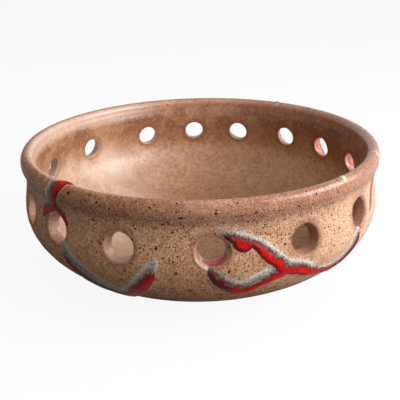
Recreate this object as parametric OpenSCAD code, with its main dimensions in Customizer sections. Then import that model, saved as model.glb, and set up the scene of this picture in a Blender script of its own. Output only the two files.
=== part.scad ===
// Wheel-thrown stoneware bowl with a rolled rim, a pierced wall and raised runs of coloured glaze.
// Millimetres. Z is up, the origin is the centre of the foot on the table, and the front faces -Y.
// Angles are in degrees round the bowl: 0 is the front, and they grow towards +X.

/* [Bowl] */
// Height of the bowl, from the table to the crown of the lip
bowl_height = 88; // [74:1:110]
// Widest diameter of the rolled rim
rim_diameter = 240; // [210:1:280]
// Widest diameter of the belly
belly_diameter = 240.6; // [210:0.2:280]
// How far the widest line of the belly lies below the widest line of the rim
belly_drop = 31.5; // [27:0.5:38]
// Diameter at which the underside of the belly would run level
belly_turn_diameter = 73; // [40:1:100]
// Thickness of the wall at the belly
wall = 7.3; // [5:0.1:9]
// Thickness of the floor
floor_thickness = 8; // [5:0.5:11]
// Diameter of the level middle of the floor
floor_diameter = 90; // [60:1:120]

/* [Rim] */
// Rise of the lip's crown above the widest line of the rim
lip_rise = 6.5; // [5:0.1:8]
// Distance from the widest line of the rim in to the crown
lip_crown = 3.5; // [2.5:0.1:5]
// Thickness of the lip, from the widest line to its inner edge
lip_width = 8.2; // [7:0.1:10]
// Depth of the lip's inner rounding
lip_inner_drop = 3.6; // [2.5:0.1:5]
// How far the neck is drawn in from the widest line of the rim
neck_depth = 2.4; // [1:0.1:3.5]
// How far the neck lies below the widest line of the rim
neck_drop = 8.5; // [6.5:0.5:10]

/* [Foot] */
// Outer diameter of the turned foot ring
foot_diameter = 120; // [100:1:132]
// Width of the foot ring
foot_ring_width = 8; // [6:0.5:14]
// Height of the foot ring's outer side
foot_height = 3; // [2:0.5:6]
// Depth of the hollow inside the foot ring
foot_hollow = 3; // [2:0.5:5]
// Rounding of the foot ring's edges
foot_rounding = 1.2; // [0.6:0.1:1.8]

/* [Holes] */
// Diameter of a hole at the outside of the wall
hole_diameter = 17.2; // [13:0.2:20]
// Diameter of a hole at the inside of the wall
hole_inner_diameter = 14.6; // [11:0.2:17]
// How far the holes lie below the widest line of the rim
hole_drop = 21; // [18:0.5:26]
// Softening of a hole's outer edge
hole_edge_outside = 1.6; // [0.8:0.1:2.2]
// Softening of a hole's inner edge
hole_edge_inside = 1; // [0.5:0.1:1.5]

/* [Glaze runs] */
// Width of a full run of raised glaze
run_width = 10; // [7:0.5:13]
// Rise of a full run above the wall
run_rise = 1.2; // [0.6:0.1:1.8]

/* [Hidden] */
$fn = 180;

clay_colour = [0.62, 0.44, 0.31];
red_glaze_colour = [0.66, 0.05, 0.05];
cream_glaze_colour = [0.86, 0.82, 0.70];

// The holes are cut by hand, so they are not quite evenly spaced, and some sit a little higher or
// lower than the rest, by these shares of their diameter
hole_angles = [2.6, 28.5, 52.2, 75.3, 99.2, 120.2, 139.7, 162.5,
               182.4, 203.8, 232.2, 257.8, 278.2, 298.2, 315.9, 338.1];
hole_rise_shares = [-0.02, -0.06, 0.02, 0, 0.04, 0.06, 0.11, 0.06,
                    0.08, 0.01, 0, -0.03, 0, -0.04, -0.04, -0.05];

// Levels and radii that the driving sizes give
rim_r = rim_diameter / 2;
rim_z = bowl_height - lip_rise;
neck_r = rim_r - neck_depth;
neck_z = rim_z - neck_drop;
belly_r = belly_diameter / 2;
belly_z = rim_z - belly_drop;
belly_turn_r = belly_turn_diameter / 2;
foot_r = foot_diameter / 2;
foot_inner_r = foot_r - foot_ring_width;
floor_z = foot_hollow + floor_thickness;
floor_r = floor_diameter / 2;
crown_r = rim_r - lip_crown;
lip_inner_r = rim_r - lip_width;
hole_z = rim_z - hole_drop;

// The belly's underside is an ellipse that meets the top of the foot ring
belly_reach = belly_r - belly_turn_r;
foot_meet_angle = acos((foot_r - belly_turn_r) / belly_reach);
belly_fall = (belly_z - foot_height) / sin(foot_meet_angle);

// Points along the part of an ellipse between two angles
function arc(centre, reach, from, to, steps) =
    [for (i = [0:steps])
        let (turn = from + (to - from) * i / steps)
        [centre[0] + reach[0] * cos(turn), centre[1] + reach[1] * sin(turn)]];

// Points of a soft double curve that leaves a and reaches b upright, without a itself
function swell(a, b, steps) =
    [for (i = [1:steps])
        let (t = i / steps, eased = (1 - cos(180 * t)) / 2)
        [a[0] + (b[0] - a[0]) * eased, a[1] + (b[1] - a[1]) * t]];

// The line of the outside, from the top of the foot ring up and over the lip
outside = concat(
    arc([belly_turn_r, belly_z], [belly_reach, belly_fall], -foot_meet_angle, 0, 18),
    swell([belly_r, belly_z], [neck_r, neck_z], 7),
    swell([neck_r, neck_z], [rim_r, rim_z], 6),
    [for (p = arc([crown_r, rim_z], [lip_crown, lip_rise], 0, 90, 7)) if (p[1] > rim_z) p],
    [for (p = arc([crown_r, bowl_height - lip_inner_drop],
                  [crown_r - lip_inner_r, lip_inner_drop], 90, 180, 6)) if (p[0] < crown_r) p]);

// The line of the inside, from the lip's inner edge down to the middle of the floor
inside = concat(
    swell([lip_inner_r, bowl_height - lip_inner_drop], [neck_r - wall, neck_z], 5),
    swell([neck_r - wall, neck_z], [belly_r - wall, belly_z], 7),
    [for (p = arc([floor_r, belly_z], [belly_r - wall - floor_r, belly_z - floor_z], 0, -90, 18))
        if (p[1] < belly_z) p],
    [[0, floor_z]]);

// The turned foot ring, from the middle of its hollow out to its outer side
foot = concat(
    [[0, foot_hollow], [foot_inner_r, foot_hollow]],
    arc([foot_inner_r + foot_rounding, foot_rounding], [foot_rounding, foot_rounding], 180, 270, 4),
    arc([foot_r - foot_rounding, foot_rounding], [foot_rounding, foot_rounding], -90, 0, 4));

// How far along the outside each of its points lies, from the foot ring
outside_way =
    [for (way = 0, i = 0; i < len(outside);
          way = way + (i + 1 < len(outside) ? norm(outside[i + 1] - outside[i]) : 0), i = i + 1)
        way];
way_length = outside_way[len(outside_way) - 1];
way_to_radius = [for (i = [0:len(outside) - 1]) [outside_way[i], outside[i][0]]];
way_to_height = [for (i = [0:len(outside) - 1]) [outside_way[i], outside[i][1]]];

// A point of the section: how far it is from the axis and above the table
function outside_at(way) = [lookup(way, way_to_radius), lookup(way, way_to_height)];

// The direction square to the outside at that point, pointing out of the clay
function outward_at(way) =
    let (reach = way_length / 200,
         along = outside_at(min(way + reach, way_length)) - outside_at(max(way - reach, 0)))
    [along[1], -along[0]] / norm(along);

// The clay as it leaves the wheel, with its foot turned
module thrown_clay() {
    rotate_extrude() polygon(concat(foot, outside, inside));
}

// Sets what is drawn upright on the outside at that place, square to the clay
module on_the_outside(angle, way) {
    place = outside_at(way);
    outward = outward_at(way);
    rotate([0, 0, angle]) translate([0, -place[0], place[1]])
        rotate([90 - atan2(outward[1], outward[0]), 0, 0])
            children();
}

// The way up to a height on the outside, and to the edges and the middle of the row of holes
height_to_way = [for (i = [0:len(outside) - 1]) if (outside[i][1] < rim_z) [outside[i][1], outside_way[i]]];
hole_way = lookup(hole_z, height_to_way);
hole_reach = hole_diameter / 2 + hole_edge_outside;

// One hole, as the form that is cut away. The potter's cutter tapers, so the hole narrows on its way
// in, and both its edges are rounded over. It is turned about its own axis, so that none of its
// corners falls on a line of the wall.
hole_overrun = wall / 2;
hole_turn = 37;

module hole_cut() {
    inner_r = hole_inner_diameter / 2 + hole_edge_inside;
    outer_edge = arc([hole_reach, -hole_edge_outside], [hole_edge_outside, hole_edge_outside],
                     180, 90, 3);
    inner_edge = arc([inner_r, hole_edge_inside - wall], [hole_edge_inside, hole_edge_inside],
                     270, 180, 3);
    rotate([0, 0, hole_turn])
        rotate_extrude()
            polygon(concat([[0, -wall - hole_overrun], [inner_r, -wall - hole_overrun]],
                           inner_edge, outer_edge, [[hole_reach, hole_overrun], [0, hole_overrun]]));
}

module hole_cuts() {
    for (i = [0:len(hole_angles) - 1])
        on_the_outside(hole_angles[i], hole_way + hole_diameter * hole_rise_shares[i]) hole_cut();
}

// The thrown and turned clay: foot ring, floor, belly, neck and rolled rim, pierced all round
module bowl_body() {
    color(clay_colour)
        difference() {
            thrown_clay();
            hole_cuts();
        }
}

// Levels that the runs of glaze keep to: 0 is the top of the foot ring, 1 and 2 are the lower and
// the upper edge of the holes, and 3 is the end of the lip
level_to_way = [[0, 0], [1, hole_way - hole_reach], [2, hole_way + hole_reach], [3, way_length]];

// The stops of a run, as [angle, level, share of the full width], are joined by a smooth curve
// with this many steps between two stops
run_steps = 2;
bead_fn = 12;

function smooth(a, b, c, d, t) =
    (2 * b + (c - a) * t + (2 * a - 5 * b + 4 * c - d) * t * t
        + (3 * b - a - 3 * c + d) * t * t * t) / 2;

function run_course(stops) =
    let (last = len(stops) - 1)
    [for (i = [0:last - 1], k = [0:run_steps - (i == last - 1 ? 0 : 1)])
        smooth(stops[max(i - 1, 0)], stops[i], stops[i + 1], stops[min(i + 2, last)],
               k / run_steps)];

// The heading of a step along a run, laid out flat: 0 is round the bowl, 90 is up the outside
function heading(from, to) =
    let (from_way = lookup(from[1], level_to_way), to_way = lookup(to[1], level_to_way))
    atan2(to_way - from_way, (to[0] - from[0]) * PI / 180 * outside_at(to_way)[0]);

// A bead of glaze that lies square across its run, half of it above the clay
module glaze_bead(stop, turn) {
    on_the_outside(stop[0], lookup(stop[1], level_to_way)) rotate([0, 0, turn])
        scale([run_rise, run_width / 2 * stop[2], run_rise * min(1, sqrt(stop[2]))])
            sphere(r = 1, $fn = bead_fn);
}

// One run of raised glaze, bead by bead along its stops
module glaze_run(stops) {
    course = run_course(stops);
    last = len(course) - 1;
    turns = [for (i = [0:last]) heading(course[max(i - 1, 0)], course[min(i + 1, last)])];
    for (i = [0:last - 1])
        hull() {
            glaze_bead(course[i], turns[i]);
            glaze_bead(course[i + 1], turns[i + 1]);
        }
}

// Runs that join are one piece, which lies on the clay and stops at the edges of the holes
module glaze_runs(runs) {
    difference() {
        for (stops = runs) glaze_run(stops);
        thrown_clay();
        hole_cuts();
    }
}

left_rim_shares = [[-40.4, 2.93, 0.85], [-41.4, 2.78, 1.35], [-42.6, 2.6, 1.3], [-44.1, 2.43, 1.05],
                   [-45.5, 2.27, 0.9], [-46.6, 2.13, 0.8], [-47.3, 2.03, 0.7]];
left_rim_blob_shares = [[-45.5, 2.05, 0.4], [-47.7, 2.04, 0.6], [-50.2, 1.96, 0.7],
                        [-51.6, 1.82, 0.5], [-51.6, 1.68, 0.25]];
left_rim_fork_shares = [[-46.5, 2.07, 0.4], [-44.5, 2.08, 0.6], [-42.3, 2.05, 0.55],
                        [-40.2, 1.92, 0.5], [-38.9, 1.74, 0.3]];
left_base_shares = [[-40.8, 1.22, 0.25], [-40.3, 1.05, 0.6], [-39.2, 0.945, 1], [-37.4, 0.885, 1.3],
                    [-35, 0.825, 1.6], [-32.2, 0.76, 1.7], [-29, 0.695, 1.75], [-26, 0.655, 1.7],
                    [-23, 0.66, 1.45], [-20.5, 0.71, 1.25], [-18.4, 0.785, 1.15], [-16.5, 0.855, 1.05],
                    [-14.6, 0.925, 0.95], [-13.2, 0.98, 0.8], [-12.2, 1.08, 0.6], [-11.8, 1.2, 0.3]];
front_upper_shares = [[3.8, 2.02, 0.35], [6.2, 1.98, 0.65], [8.4, 1.86, 0.95], [10.4, 1.71, 1.15],
                      [12.4, 1.64, 0.9], [14.5, 1.58, 0.8], [16.2, 1.43, 0.9],
                      [18.1, 1.22, 0.95], [20.1, 1.03, 1], [22.2, 0.96, 1],
                      [24.8, 0.93, 1.1], [27.3, 0.905, 1.15], [29.8, 0.87, 1.05],
                      [32.3, 0.83, 0.85], [35, 0.8, 0.85], [38.2, 0.78, 0.95],
                      [41.4, 0.775, 1.1], [44.6, 0.8, 1.15], [47.2, 0.845, 1.1],
                      [49, 0.905, 1], [50.1, 0.965, 0.8], [50.8, 1.02, 0.5]];
front_lower_shares = [[1.9, 1.01, 0.45], [2.9, 0.96, 0.8], [4.8, 0.905, 0.95], [7.1, 0.862, 1.04],
                      [9.6, 0.835, 1.12], [12.2, 0.843, 1.12], [14.7, 0.88, 1.05],
                      [17.2, 0.912, 1], [19.8, 0.93, 0.92], [22.4, 0.945, 0.8]];
right_rim_shares = [[70.4, 2.93, 0.6], [70.4, 2.78, 0.75], [69.9, 2.6, 0.65], [68.9, 2.41, 0.55],
                    [67.3, 2.2, 0.5], [65.3, 2, 0.5], [63.2, 1.75, 0.5], [61.4, 1.5, 0.45],
                    [60, 1.27, 0.25]];
back_shares = [[145.4, 2.88, 0.4], [145.6, 2.7, 0.6], [146, 2.46, 0.7], [146.3, 2.16, 0.75],
               [146.2, 1.76, 0.8], [145.4, 1.3, 0.85], [143.6, 0.99, 0.9], [139.5, 0.9, 0.9],
               [134, 0.92, 0.85], [129.3, 0.97, 0.75], [126.3, 1.15, 0.6], [124.9, 1.45, 0.35]];
back_link_shares = [[115, 1.66, 0.35], [111.5, 1.72, 0.6], [108, 1.66, 0.6], [104.4, 1.53, 0.35]];
lip_drip_shares = [[43.9, 2.93, 0.18], [43.5, 2.87, 0.26], [43.1, 2.8, 0.28], [42.7, 2.73, 0.24],
                   [42.4, 2.66, 0.14]];

module glaze_run_left_rim() {
    color(red_glaze_colour)
        glaze_runs([left_rim_shares, left_rim_blob_shares, left_rim_fork_shares]);
}

module glaze_run_left_base() {
    color(red_glaze_colour) glaze_runs([left_base_shares]);
}

module glaze_run_front() {
    color(red_glaze_colour) glaze_runs([front_upper_shares, front_lower_shares]);
}

module glaze_run_right_rim() {
    color(red_glaze_colour) glaze_runs([right_rim_shares]);
}

module glaze_run_back() {
    color(red_glaze_colour) glaze_runs([back_shares, back_link_shares]);
}

module glaze_drip_lip() {
    color(cream_glaze_colour) glaze_runs([lip_drip_shares]);
}

bowl_body();
glaze_run_left_rim();
glaze_run_left_base();
glaze_run_front();
glaze_run_right_rim();
glaze_run_back();
glaze_drip_lip();
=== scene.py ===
# %% [markdown]
# # A pierced stoneware bowl
#
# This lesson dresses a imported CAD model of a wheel-thrown bowl. The CAD holds the sizes. Blender adds what a
# potter sees: the soft surface of thrown clay, holes smoothed with a wet finger, a satin glaze with iron
# specks, and trails of thick red glaze that ran in the kiln.
#
# The order is: load the frame, set the camera, describe the section of the wall, build the clay, lay the
# glaze trails on it, mix the glazes, and light the table.

# %% Load the frame
import math

import bpy
import numpy as np
from mathutils import Matrix, Vector


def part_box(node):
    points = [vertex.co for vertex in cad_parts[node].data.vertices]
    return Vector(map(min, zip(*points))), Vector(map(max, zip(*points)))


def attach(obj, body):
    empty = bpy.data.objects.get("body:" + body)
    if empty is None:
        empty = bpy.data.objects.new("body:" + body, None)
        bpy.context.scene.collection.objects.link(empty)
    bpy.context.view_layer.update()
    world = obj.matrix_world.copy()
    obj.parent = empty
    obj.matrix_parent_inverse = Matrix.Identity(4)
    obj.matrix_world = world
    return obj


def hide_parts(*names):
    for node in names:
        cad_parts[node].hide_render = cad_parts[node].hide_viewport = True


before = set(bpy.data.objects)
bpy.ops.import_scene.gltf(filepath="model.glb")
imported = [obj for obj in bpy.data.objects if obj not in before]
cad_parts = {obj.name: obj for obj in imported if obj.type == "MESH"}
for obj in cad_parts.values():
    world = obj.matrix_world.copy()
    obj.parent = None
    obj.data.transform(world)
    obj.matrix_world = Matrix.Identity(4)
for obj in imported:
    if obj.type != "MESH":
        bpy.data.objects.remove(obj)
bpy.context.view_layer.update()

# %% [markdown]
# ## Units and sizes
#
# Clay is measured in millimetres, and Blender works in metres, so every point is computed in millimetres and
# scaled once, when its mesh is made. The driving sizes come from the box of the clay body. The rest are the
# potter's sizes: wall, lip, neck, foot and holes. Angles run round the bowl from the front, towards +X.

# %% Sizes of the bowl, in millimetres
MM = 0.001
body_low, body_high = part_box("bowl_body")
BOWL_HEIGHT = body_high.z / MM
BELLY_R = body_high.x / MM
BELLY_OVER_RIM = 0.3
RIM_R = BELLY_R - BELLY_OVER_RIM

LIP_RISE, LIP_CROWN, LIP_WIDTH, LIP_INNER_DROP = 6.5, 3.5, 8.2, 3.6
NECK_DEPTH, NECK_DROP = 2.4, 8.5
BELLY_DROP, BELLY_TURN_R = 31.5, 36.5
WALL, FLOOR_THICKNESS, FLOOR_R = 7.3, 8.0, 45.0
FOOT_R, FOOT_RING_WIDTH, FOOT_HEIGHT, FOOT_HOLLOW, FOOT_ROUNDING = 60.0, 8.0, 3.0, 3.0, 1.2
HOLE_R, HOLE_INNER_R, HOLE_DROP, HOLE_EDGE_OUTSIDE, HOLE_EDGE_INSIDE = 8.6, 7.3, 21.0, 1.6, 1.0
HOLE_ANGLES = [2.6, 28.5, 52.2, 75.3, 99.2, 120.2, 139.7, 162.5,
               182.4, 203.8, 232.2, 257.8, 278.2, 298.2, 315.9, 338.1]
HOLE_RISE_SHARES = [-0.02, -0.06, 0.02, 0, 0.04, 0.06, 0.11, 0.06,
                    0.08, 0.01, 0, -0.03, 0, -0.04, -0.04, -0.05]
HOLES = len(HOLE_ANGLES)

RIM_Z = BOWL_HEIGHT - LIP_RISE
NECK_R, NECK_Z = RIM_R - NECK_DEPTH, RIM_Z - NECK_DROP
BELLY_Z = RIM_Z - BELLY_DROP
CROWN_R, LIP_INNER_R = RIM_R - LIP_CROWN, RIM_R - LIP_WIDTH
LIP_INNER_Z = BOWL_HEIGHT - LIP_INNER_DROP
FLOOR_Z = FOOT_HOLLOW + FLOOR_THICKNESS
HOLE_Z = RIM_Z - HOLE_DROP
print(f"Rim {2 * RIM_R:.1f} mm across at {RIM_Z:.1f} mm, holes at {HOLE_Z:.1f} mm")

# %% [markdown]
# ## The camera
#
# The view was fitted to the two edges of the rim and to the holes. The camera stands about 400 mm from the
# middle of the rim, 17 degrees above it, and is tipped a little further down, so the bowl fills the frame.
# A camera looks along its own -Z, so its matrix is made from the three directions right, up and back.

# %% Camera
IMAGE_WIDTH = 400.0
FOCAL_PIXELS = 576.9
CAMERA_DISTANCE = 402.4
CAMERA_ELEVATION = math.radians(17.13)
CAMERA_PITCH = math.radians(17.13 + 5.469)
CAMERA_YAW = math.radians(-0.084)
CAMERA_ROLL = math.radians(-1.069)

forward = Vector((math.sin(CAMERA_YAW) * math.cos(CAMERA_PITCH),
                  math.cos(CAMERA_YAW) * math.cos(CAMERA_PITCH),
                  -math.sin(CAMERA_PITCH)))
level_right = forward.cross(Vector((0, 0, 1))).normalized()
level_up = level_right.cross(forward)
right = math.cos(CAMERA_ROLL) * level_right + math.sin(CAMERA_ROLL) * level_up
up = -math.sin(CAMERA_ROLL) * level_right + math.cos(CAMERA_ROLL) * level_up

camera_data = bpy.data.cameras.new("photo_view")
camera_data.sensor_width = 36
camera_data.lens = FOCAL_PIXELS / IMAGE_WIDTH * camera_data.sensor_width
camera = bpy.data.objects.new("photo_view", camera_data)
bpy.context.scene.collection.objects.link(camera)
camera.matrix_world = Matrix((right, up, -forward)).transposed().to_4x4()
camera.location = Vector((0, -math.cos(CAMERA_ELEVATION) * CAMERA_DISTANCE,
                          RIM_Z + math.sin(CAMERA_ELEVATION) * CAMERA_DISTANCE)) * MM
bpy.context.scene.camera = camera
print(f"Lens {camera_data.lens:.1f} mm, camera at {tuple(round(v, 3) for v in camera.location)}")

# %% [markdown]
# ## The section of the wall
#
# A thrown bowl is its section turned round the axis. The section follows the moves of the potter: an ellipse
# for the belly, soft double curves for the neck, and quarter ellipses for the rolled lip. A `SectionLine`
# answers two questions about any point on the way along it: where is it, and which way does the clay face.
# `around` turns radii and heights of the section into points of the bowl.

# %% Section lines
LINE_STEPS = 48


def arc(centre, reach, start, end, steps=LINE_STEPS):
    """Points along part of an ellipse, between two angles in degrees."""
    turn = np.radians(np.linspace(start, end, steps + 1))
    return np.column_stack([centre[0] + reach[0] * np.cos(turn), centre[1] + reach[1] * np.sin(turn)])


def swell(start, end):
    """Points of a soft double curve that leaves one point upright and reaches the other upright."""
    t = np.arange(1, LINE_STEPS + 1) / LINE_STEPS
    eased = (1 - np.cos(np.pi * t)) / 2
    return np.column_stack([start[0] + (end[0] - start[0]) * eased, start[1] + (end[1] - start[1]) * t])


def around(r, turn, z):
    """Points at these radii and heights, turned from the front of the bowl."""
    return np.column_stack([r * np.sin(turn), -r * np.cos(turn), z + 0 * turn])


class SectionLine:
    """A line of the section, measured by the way along it in millimetres."""

    def __init__(self, points):
        self.points = points
        self.way = np.concatenate([[0], np.cumsum(np.hypot(*np.diff(points, axis=0).T))])
        self.length = self.way[-1]
        along = np.gradient(points, self.way, axis=0)
        self.normals = np.column_stack([along[:, 1], -along[:, 0]])
        self.normals /= np.linalg.norm(self.normals, axis=1)[:, None]

    def place(self, way):
        """Radius and height at that way."""
        return [np.interp(way, self.way, column) for column in self.points.T]

    def facing(self, way):
        """The direction out of the clay at that way, as its radius and height parts."""
        return [np.interp(way, self.way, column) for column in self.normals.T]


belly_reach = BELLY_R - BELLY_TURN_R
foot_meet = math.degrees(math.acos((FOOT_R - BELLY_TURN_R) / belly_reach))
belly_fall = (BELLY_Z - FOOT_HEIGHT) / math.sin(math.radians(foot_meet))

outside = SectionLine(np.vstack([
    arc((BELLY_TURN_R, BELLY_Z), (belly_reach, belly_fall), -foot_meet, 0, 3 * LINE_STEPS),
    swell((BELLY_R, BELLY_Z), (NECK_R, NECK_Z)),
    swell((NECK_R, NECK_Z), (RIM_R, RIM_Z)),
    arc((CROWN_R, RIM_Z), (LIP_CROWN, LIP_RISE), 0, 90)[1:],
    arc((CROWN_R, LIP_INNER_Z), (CROWN_R - LIP_INNER_R, LIP_INNER_DROP), 90, 180)[1:]]))

inside = SectionLine(np.vstack([
    [[LIP_INNER_R, LIP_INNER_Z]],
    swell((LIP_INNER_R, LIP_INNER_Z), (NECK_R - WALL, NECK_Z)),
    swell((NECK_R - WALL, NECK_Z), (BELLY_R - WALL, BELLY_Z)),
    arc((FLOOR_R, BELLY_Z), (BELLY_R - WALL - FLOOR_R, BELLY_Z - FLOOR_Z), 0, -90, 3 * LINE_STEPS)[1:],
    [[0, FLOOR_Z]]]))

wall_part = outside.points[:, 1] < RIM_Z
HOLE_WAY = np.interp(HOLE_Z, outside.points[wall_part, 1], outside.way[wall_part])
print(f"Outside {outside.length:.1f} mm long, holes {HOLE_WAY:.1f} mm along it")

# %% [markdown]
# ## The frame of a hole
#
# Each hole was cut square to the wall with a round, tapering cutter, a little higher or lower than the next.
# Close to a hole it is easiest to think in the cutter's own directions: `u` round the bowl, `v` up the wall
# and `depth` out of it. `wall_depth` finds where the wall's skin lies over a point of that plane, by a few
# Newton steps.
#
# A hand-cut hole is never a true circle. `hole_outline` gives each one slightly different radii and a
# softening that varies round its edge.

# %% Holes in their own directions
NEWTON_STEPS = 8
HOLE_LOBES, EDGE_VARIATION = 0.16, 0.22

turns = np.radians(HOLE_ANGLES)
hole_ways = HOLE_WAY + 2 * HOLE_R * np.array(HOLE_RISE_SHARES)
hole_r, hole_z = outside.place(hole_ways)
facing_r, facing_z = outside.facing(hole_ways)
hole_centres = around(hole_r, turns, hole_z)
hole_round = np.column_stack([np.cos(turns), np.sin(turns), 0 * turns])
hole_out = around(facing_r, turns, facing_z)
hole_up = np.cross(hole_out, hole_round)

inner_part = inside.way < np.interp(-FLOOR_Z - 1, -inside.points[:, 1], inside.way)
inner_heights = inside.points[inner_part, 1][::-1]
inner_radii = inside.points[inner_part, 0][::-1]


def outer_radius(z):
    return np.interp(z, outside.points[wall_part, 1], outside.points[wall_part, 0])


def inner_radius(z):
    return np.interp(z, inner_heights, inner_radii)


def wall_depth(hole, u, v, radius_at, depth):
    """How far out along a hole's axis the wall's skin lies, over the point u, v."""
    depth = np.full(np.shape(u), float(depth))
    for _ in range(NEWTON_STEPS):
        reach = hole_r[hole] - v * facing_z[hole] + depth * facing_r[hole]
        z = hole_z[hole] + v * facing_r[hole] + depth * facing_z[hole]
        depth = depth - (np.hypot(reach, u) - radius_at(z))
    return depth


def skin_depth(hole, reach, phi, radius_at, depth):
    """The same, at that reach from the axis in the direction phi."""
    return wall_depth(hole, reach * np.cos(phi), reach * np.sin(phi), radius_at, depth)


def hole_outline(hole, phi):
    """The bore's radius at its outer and inner end, and its two edge softenings, in the direction phi."""
    lobes = HOLE_LOBES * np.cos(2 * phi + 1.7 * hole) + 0.6 * HOLE_LOBES * np.cos(3 * phi + 2.9 * hole)
    vary = 1 + EDGE_VARIATION * np.cos(phi + 2.3 * hole) + 0.5 * EDGE_VARIATION * np.cos(4 * phi + hole)
    return HOLE_R + lobes, HOLE_INNER_R + lobes, HOLE_EDGE_OUTSIDE * vary, HOLE_EDGE_INSIDE * vary


def from_hole(hole, u, v, depth):
    """The point at u, v, depth in a hole's own directions, as x, y, z."""
    return (hole_centres[hole] + u[..., None] * hole_round[hole] + v[..., None] * hole_up[hole]
            + depth[..., None] * hole_out[hole])


def circle_point(hole, reach, phi, depth):
    """The point at that reach from a hole's axis, in the direction phi."""
    return from_hole(hole, reach * np.cos(phi), reach * np.sin(phi), depth)


def to_hole(hole, points):
    """The u and v of points in a hole's own directions."""
    away = points - hole_centres[hole]
    return away @ hole_round[hole], away @ hole_up[hole]


print(f"The front hole faces {math.degrees(math.atan2(facing_z[0], facing_r[0])):.1f} degrees up from level")

# %% [markdown]
# ## The potter's hands
#
# A lathe would leave a perfect surface, but hands and a wheel don't. This one function moves any point of the
# bowl by a few tenths of a millimetre: the rim is slightly out of round, shallow throwing rings climb the
# wall, and a faint spiral is left on the floor. It depends only on where a point is, so clay and glaze move
# together. The foot was trimmed flat, so it stays true.

# %% Throwing marks
OUT_OF_ROUND, RIM_RISE = 0.3, 0.25
RING_DEPTH, RING_PITCH, FINE_RING_PITCH = 0.05, 5.4, 3.1
SPIRAL_DEPTH, SPIRAL_PITCH = 0.16, 7.5


def fade(value, start, end):
    """0 before start and 1 past end, with an even change between."""
    return np.clip((value - start) / (end - start), 0, 1)


def wave(length, pitch, phase=0):
    return np.sin(2 * math.pi * length / pitch + phase)


def hand_thrown(points):
    x, y, z = points.T
    angle, radius = np.arctan2(x, -y), np.hypot(x, y)
    above_foot = fade(z, FOOT_HEIGHT, FOOT_HEIGHT + 15)
    oval = OUT_OF_ROUND * (0.7 * np.cos(2 * angle + 0.6) + 0.4 * np.cos(3 * angle + 2.1))
    climb = z + 0.5 * RING_PITCH * angle / math.pi + 0.8 * np.sin(2 * angle)
    rings = RING_DEPTH * (wave(climb, RING_PITCH) + 0.6 * wave(climb, FINE_RING_PITCH, 1))
    radius_out = radius + above_foot * (oval + rings * fade(radius, FLOOR_R, FLOOR_R + 30))
    in_bowl = fade(inner_radius(z) - radius, -2, 0) * fade(z, FLOOR_Z - 2, FLOOR_Z)
    spiral = SPIRAL_DEPTH * wave(radius, SPIRAL_PITCH, angle) * in_bowl * fade(z, 60, 30) * fade(radius, 0, 6)
    rise = above_foot * RIM_RISE * np.cos(2 * angle + 1) * fade(z, 0, BOWL_HEIGHT)
    scale = radius_out / np.maximum(radius, 1e-6)
    return np.column_stack([x * scale, y * scale, z + rise + spiral])


print(f"Out of round by up to {1.1 * OUT_OF_ROUND:.2f} mm, throwing rings {RING_PITCH} mm apart")


# %% [markdown]
# ## Marks that the glazes read
#
# Glaze thins and breaks brown over edges, so each vertex of the clay and of the trails carries two numbers
# that the materials read: its distance from the nearest hole's edge, and whether it is inside the bowl.

# %% Glaze marks on a mesh
MARK_REACH = 20.0


def hole_gap(points):
    """Distance from the edge of the nearest hole, in millimetres, and 0 within it."""
    gap = np.full(len(points), MARK_REACH)
    for hole in range(HOLES):
        u, v = to_hole(hole, points)
        depth = (points - hole_centres[hole]) @ hole_out[hole]
        near = np.abs(depth + WALL / 2) < MARK_REACH
        bore = HOLE_R + (HOLE_INNER_R - HOLE_R) * fade(-depth, 0, WALL)
        gap = np.where(near, np.minimum(gap, np.hypot(u, v) - bore), gap)
    return np.maximum(gap, 0)


def inside_share(points):
    """1 on the inside of the bowl, 0 on the outside, with the change at the middle of the wall."""
    radius, z = np.hypot(points[:, 0], points[:, 1]), points[:, 2]
    middle = np.where(z > NECK_Z, CROWN_R - 2, inner_radius(np.minimum(z, LIP_INNER_Z)) + WALL / 2)
    return np.where(z < FLOOR_Z - 1, 0, fade(middle - radius, -1.5, 1.5))


def set_mark(mesh, name, values):
    mark = mesh.attributes.new(name, "FLOAT", "POINT")
    mark.data.foreach_set("value", np.asarray(values, np.float32))


def add_piece(name, points, faces):
    """A smooth-shaded mesh from points in millimetres, with its glaze marks."""
    mesh = bpy.data.meshes.new(name)
    mesh.from_pydata((hand_thrown(points) * MM).tolist(), [], faces)
    mesh.validate()
    mesh.shade_smooth()
    set_mark(mesh, "hole_gap", hole_gap(points))
    set_mark(mesh, "inside_share", inside_share(points))
    piece = bpy.data.objects.new(name, mesh)
    bpy.context.scene.collection.objects.link(piece)
    return piece


# %% [markdown]
# ## The clay body
#
# A Boolean would leave long thin faces and a hard seam just where the light shows it. Here the wall is a grid
# of columns and rows, and each hole gets a patch of rings that change step by step from the grid's square to
# the hole's circle, roll over the edge, pass through the bore and open out again on the inside. Each hole has
# 24 columns, from halfway to the hole before it to halfway to the next.

# %% Columns, and rows outside and inside
SECTOR_COLUMNS = 24
BAND = 14.5
BAND_ROWS = 14
WALL_STEP = 2.2
LIP_STEP = 1.0

sector_starts = [(before + angle) / 2
                 for before, angle in zip([HOLE_ANGLES[-1] - 360] + HOLE_ANGLES, HOLE_ANGLES)]
sector_ends = sector_starts[1:] + [sector_starts[0] + 360]
columns = [start + (end - start) * k / SECTOR_COLUMNS
           for start, end in zip(sector_starts, sector_ends) for k in range(SECTOR_COLUMNS)]
column_turns = np.radians(columns)
COLUMN_COUNT = len(columns)


def ways(start, end, step):
    """Evenly spaced ways from start to end, about a step apart."""
    return np.linspace(start, end, max(2, round(abs(end - start) / step) + 1))


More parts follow.
